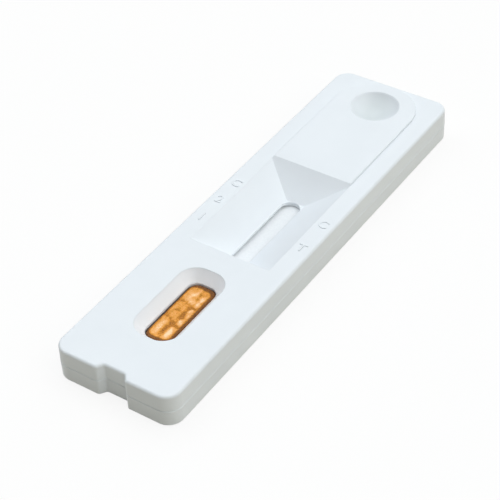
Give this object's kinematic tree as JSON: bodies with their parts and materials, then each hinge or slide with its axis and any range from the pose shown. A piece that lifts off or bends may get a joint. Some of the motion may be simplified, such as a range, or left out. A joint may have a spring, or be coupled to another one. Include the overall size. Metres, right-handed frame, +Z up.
{
  "type": "lateral flow cassette",
  "caption": "Flat two-shell test cassette with a bevelled sample well, a hopper-shaped result window, an arched thumb grip and a layered test strip inside.",
  "frame": {"origin": "on the table under the middle of the housing", "axes": "+X along the device towards the grip end, +Z up through the window"},
  "size_m": [0.07, 0.0184, 0.0054],
  "materials": {
    "housing_plastic": "satin moulded white",
    "card_plastic": "smooth white film",
    "membrane_film": "matt white membrane",
    "conjugate_fibre": "dyed glass fibre mat",
    "sample_fibre": "orange fibre pad",
    "absorbent_fibre": "white cotton linter board"
  },
  "bodies": {
    "root": {"upper_housing": "housing_plastic", "lower_housing": "housing_plastic", "backing_card": "card_plastic", "membrane": "membrane_film", "conjugate_pad": "conjugate_fibre", "sample_pad": "sample_fibre", "absorbent_pad": "absorbent_fibre"}
  },
  "joints": []
}
